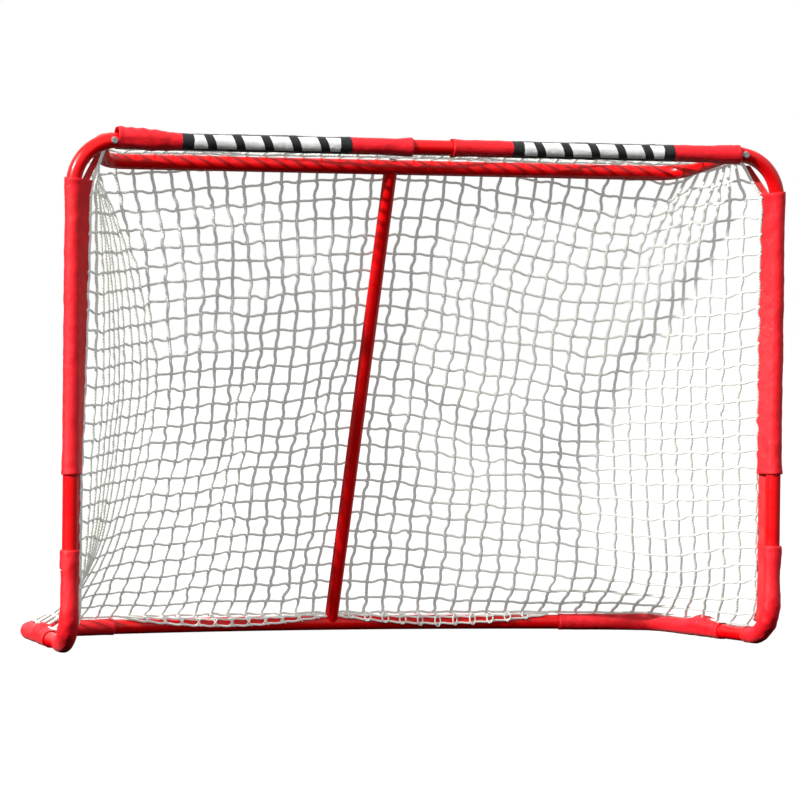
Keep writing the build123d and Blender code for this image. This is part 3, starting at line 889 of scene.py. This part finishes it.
def build_sleeve(name, node, path, toward, material, reach=None, bags=(), seed=1.0):
    """A closed thin shell of cloth round a tube, standing for the CAD's sleeve."""
    outer, along = sleeve_rings(path, toward, reach, bags, seed, 0)
    inner = sleeve_rings(path, toward, reach, bags, seed, CLOTH)[0]
    n, m = outer.shape[:2]
    verts = np.concatenate([outer.reshape(-1, 3), inner.reshape(-1, 3)])
    girth = np.linalg.norm(np.diff(outer[n // 2], axis=0), axis=1)
    around = np.concatenate([[0], np.cumsum(girth)])
    around = np.append(around, around[-1] + girth[-1])
    around -= around[m // 2]
    from_end = np.minimum(along, along[-1] - along)
    faces, uvs = [], []

    def quad(corners, us, vs):
        faces.append(corners)
        uvs.extend(zip(us, vs))

    for i in range(n - 1):
        u0, u1 = from_end[i], from_end[i + 1]
        for j in range(m):
            k = (j + 1) % m
            v0, v1 = around[j], around[j + 1]
            a, b, c, d = i * m + j, i * m + k, (i + 1) * m + k, (i + 1) * m + j
            quad((a, b, c, d), (u0, u0, u1, u1), (v0, v1, v1, v0))
            quad((d + n * m, c + n * m, b + n * m, a + n * m), (u1, u1, u0, u0), (v0, v1, v1, v0))
    for i, flip in ((0, True), (n - 1, False)):
        for j in range(m):
            k = (j + 1) % m
            a, b = i * m + j, i * m + k
            corners = (a, a + n * m, b + n * m, b) if flip else (b, b + n * m, a + n * m, a)
            quad(corners, (0, 0, 0, 0), (around[j],) * 4)
    piece = new_piece(name, verts, faces, material, uvs)
    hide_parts(node)
    return piece, (float(along[-1]), float(around[-1] - around[0]))


def pierce(piece, button):
    """Cuts a round hole in a sleeve, where a snap button comes out."""
    joint = next(one for one in frame["record"]["behaviour"]["joints"] if one["child"] == button)
    out = -np.array(joint["axis"])
    pin = frame["nodes"][button]
    middle = np.mean([pin.matrix_world @ Vector(corner) for corner in pin.bound_box], axis=0)
    drill = Grid()
    drill.tube(np.array([middle, middle + out * DRILL_LENGTH]), BUTTON_HOLE_R, UP, sides=24)
    mesh = bpy.data.meshes.new("drill")
    mesh.from_pydata([tuple(v) for v in np.concatenate(drill.verts)], [], drill.faces)
    cutter = bpy.data.objects.new("drill", mesh)
    bpy.context.scene.collection.objects.link(cutter)
    hole = piece.modifiers.new("hole", "BOOLEAN")
    hole.operation = "DIFFERENCE"
    hole.solver = "EXACT"
    hole.object = cutter
    bpy.context.view_layer.update()
    pierced = piece.evaluated_get(bpy.context.evaluated_depsgraph_get())
    piece.data = bpy.data.meshes.new_from_object(pierced)
    piece.modifiers.clear()
    bpy.data.objects.remove(cutter)


def build_crossbar_sleeve(name, side):
    """Along half of the crossbar. The left one is puckered up at its outer end."""
    inner = BAR_SLEEVE_INNER[name]
    ends = np.array([at(inner, 0, BAR_Z), at(side * BAR_SLEEVE_OUTER, 0, BAR_Z)])
    path = resample(ends, RING_STEP)
    length = BAR_SLEEVE_OUTER - abs(inner)
    bags = [(length - 0.02, 0.1, 0.003, None), (0, 0.05, 0.002, None)]
    if name == "left":
        bags = [(length, 0.17, 0.012, UP), (length - 0.1, 0.07, 0.003, None), (0, 0.05, 0.002, None)]
    names = ("crossbar_cloth_" + name, "crossbar_sleeve_" + name)
    piece, size = build_sleeve(*names, path, BACK, BANDED[name], BAR_FLAP_REACH, bags, 3 + side)


def build_post_sleeve(name, side):
    """Up the post and on to the bend. Its flap points inwards, and turns back lower down."""
    corners = [
        at(side * POST_X, 0, POST_SLEEVE_LOW),
        at(side * POST_X, 0, BAR_Z),
        at(0, 0, BAR_Z),
    ]
    path = filleted(corners, [TOP_BEND_R])
    path = path[path[:, 2] < POST_SLEEVE_HIGH]
    bags = [(0, 0.06, 0.002, None), (POST_SLEEVE_HIGH - POST_SLEEVE_LOW, 0.06, 0.002, None)]
    flap = np.array([post_edge(side, 1, z) - post_edge(side, 0, z) for z in path[:, 2]])
    names = ("post_cloth_" + name, "upper_post_sleeve_" + name)
    piece, size = build_sleeve(*names, path, flap, NYLON, POST_FLAP_REACH, bags, 11 + side)


def build_foot_sleeve(name, side):
    """Round the lower post and the foot bend, with a hole for the button."""
    corners = [
        at(side * POST_X, 0, LOWER_SLEEVE_HIGH),
        at(side * POST_X, 0, BASE_Z),
        at(side * side_line_x(LOWER_SLEEVE_BACK), LOWER_SLEEVE_BACK, BASE_Z),
    ]
    path = filleted(corners, [FOOT_BEND_R])
    bags = [(0.02, 0.05, 0.003, None), (0.2, 0.12, 0.004, None)]
    inward = np.array([-side * 1.0, 0, 0])
    names = ("foot_cloth_" + name, "lower_post_sleeve_" + name)
    piece, size = build_sleeve(*names, path, inward, NYLON, None, bags, 21 + side)
    pierce(piece, "post_button_" + name)


def build_base_sleeve(name, side):
    """Along the base side and round the rear corner, with a hole for the button."""
    corners = [
        at(side * side_line_x(BASE_SLEEVE_FRONT), BASE_SLEEVE_FRONT, BASE_Z),
        at(side * BASE_CORNER_X, CORNER_DEPTH, BASE_Z),
        rear_run_point(side, REAR_JOINT_X),
    ]
    path = filleted(corners, [REAR_BEND_R])
    bags = [(0.1, 0.1, 0.014, UP), (0.4, 0.1, 0.003, None)]
    names = ("base_cloth_" + name, "base_sleeve_" + name)
    piece, size = build_sleeve(*names, path, UP, NYLON, None, bags, 31 + side)
    pierce(piece, "base_button_" + name)


for sleeve_name, sleeve_side in (("left", -1), ("right", 1)):
    build_crossbar_sleeve(sleeve_name, sleeve_side)
    build_post_sleeve(sleeve_name, sleeve_side)
    build_foot_sleeve(sleeve_name, sleeve_side)
    build_base_sleeve(sleeve_name, sleeve_side)


# --- Edge tape ----------------------------------------------------------------------------


def build_tapes():
    for name, side in (("left", -1), ("right", 1)):
        heights = np.concatenate([np.linspace(1.15, 0.12, 200), np.linspace(0.118, 0.045, 30)])
        corner = [(0.868, 0.024), (0.85, 0.03)]
        inner, outer = (
            np.array([at(side * x, depth, 1.225)] + [post_edge(side, reach, z) for z in heights])
            for reach, (x, depth) in zip(TAPE_REACH, corner)
        )
        count = 240
        inner, outer = resample_to(inner, count), resample_to(outer, count)
        wide = unit(outer - inner)
        along = unit(np.gradient(inner, axis=0))
        face = np.cross(along, wide)
        strips = []
        for share in TAPE_SHARES:
            line = inner + (outer - inner) * share
            wave = np.array([crease(p, 42, 40 + side) for p in line]) * 0.0035 * (0.3 + share)
            ragged = np.array([crease(p, 70, 50 + side) for p in line]) * 0.002 * share
            strips.append(line + face * wave[:, None] + wide * ragged[:, None])
        strips = np.stack(strips, axis=1)
        half = face[:, None] * (TAPE_THICK / 2)
        rings = np.concatenate([strips + half, (strips - half)[:, ::-1]], axis=1)
        reach = np.linspace(0, TAPE_LENGTH, count)
        across = TAPE_WIDTH * np.array(TAPE_SHARES)
        around = np.concatenate([across, across[::-1], [0]])
        grid = Grid()
        grid.add(rings, reach, around)
        piece = grid.piece("edge_tape_" + name, TAPE)
        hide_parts("net_binding_" + name)


build_tapes()


# --- Materials of the CAD's own pieces ----------------------------------------------------
FINISH = {
    "frame_paint": PAINT,
    "zinc_steel": ZINC,
    "button_steel": BUTTON,
    "spring_steel": SPRING,
    "ring_plastic": RING,
    "lacing_cord": LACE_CORD,
}


def finish_cad():
    slot_of = {part["node"]: part["material_slot"] for part in frame["record"]["subparts"]}
    for name, node in frame["nodes"].items():
        material = FINISH.get(slot_of[name])
        if material is None:
            continue
        if not node.material_slots:
            node.data.materials.append(material)
        for slot in node.material_slots:
            slot.material = material


finish_cad()


# --- Stage --------------------------------------------------------------------------------
FLOOR_REACH = 60
FLOOR_GLOW = 0.97
SKY_STRENGTH = 0.95
SUN_STRENGTH = 6.5
SUN_SPREAD = math.radians(2.5)
SUN_TOWARD = (-0.82, -0.28, 0.5)
CAMERA_TURN = (0.35134, 0.01935, 0.01184)
CAMERA_PLACE = (-4.35778, -12.02578, 0.86333)
LENS = 225


def build_stage():
    mesh = bpy.data.meshes.new("floor")
    signs = ((-1, -1), (1, -1), (1, 1), (-1, 1))
    corners = [(FLOOR_REACH * x, FLOOR_REACH * y, 0) for x, y in signs]
    mesh.from_pydata(corners, [], [(0, 1, 2, 3)])
    floor = bpy.data.objects.new("floor", mesh)
    bpy.context.scene.collection.objects.link(floor)
    material = bpy.data.materials.new("floor_white")
    material.use_nodes = True
    tree = material.node_tree
    main = tree.nodes["Principled BSDF"]
    main.inputs["Base Color"].default_value = (0.08, 0.08, 0.08, 1)
    main.inputs["Roughness"].default_value = 1
    main.inputs["Specular IOR Level"].default_value = 0
    main.inputs["Emission Color"].default_value = (1, 1, 1, 1)
    main.inputs["Emission Strength"].default_value = FLOOR_GLOW
    mesh.materials.append(material)
    floor.visible_diffuse = False
    floor.visible_glossy = False

    world = bpy.data.worlds.new("studio")
    world.use_nodes = True
    bpy.context.scene.world = world
    tree = world.node_tree
    background = tree.nodes["Background"]
    coords = tree.nodes.new("ShaderNodeTexCoord")
    split = tree.nodes.new("ShaderNodeSeparateXYZ")
    ramp = tree.nodes.new("ShaderNodeMapRange")
    light_path = tree.nodes.new("ShaderNodeLightPath")
    mix = tree.nodes.new("ShaderNodeMix")
    mix.data_type = "FLOAT"
    tree.links.new(coords.outputs["Generated"], split.inputs[0])
    tree.links.new(split.outputs[2], ramp.inputs["Value"])
    ramp.inputs["From Min"].default_value = -0.06
    ramp.inputs["From Max"].default_value = 0.3
    ramp.inputs["To Min"].default_value = 0.0
    ramp.inputs["To Max"].default_value = SKY_STRENGTH
    tree.links.new(light_path.outputs["Is Camera Ray"], mix.inputs["Factor"])
    tree.links.new(ramp.outputs["Result"], mix.inputs[2])
    mix.inputs[3].default_value = 1.0
    tree.links.new(mix.outputs[0], background.inputs["Strength"])
    background.inputs["Color"].default_value = (1, 1, 1, 1)

    sun = bpy.data.lights.new("sun", "SUN")
    sun.energy = SUN_STRENGTH
    sun.angle = SUN_SPREAD
    sun.color = (1.0, 0.98, 0.94)
    sun_object = bpy.data.objects.new("sun", sun)
    sun_object.rotation_euler = Vector(SUN_TOWARD).to_track_quat("Z", "Y").to_euler()
    bpy.context.scene.collection.objects.link(sun_object)


def build_camera():
    yaw, pitch, roll = CAMERA_TURN
    forward = Vector(
        (math.sin(yaw) * math.cos(pitch), math.cos(yaw) * math.cos(pitch), -math.sin(pitch))
    )
    level = Vector((math.cos(yaw), -math.sin(yaw), 0))
    upright = level.cross(forward)
    right = level * math.cos(roll) + upright * math.sin(roll)
    up = upright * math.cos(roll) - level * math.sin(roll)
    data = bpy.data.cameras.new("camera")
    data.lens = LENS
    data.sensor_width = 36
    data.clip_end = 100
    camera = bpy.data.objects.new("camera", data)
    turn = Matrix((right, up, -forward)).transposed().to_4x4()
    camera.matrix_world = Matrix.Translation(CAMERA_PLACE) @ turn
    bpy.context.scene.collection.objects.link(camera)
    bpy.context.scene.camera = camera


build_stage()
build_camera()
bpy.context.scene.view_settings.view_transform = "Standard"
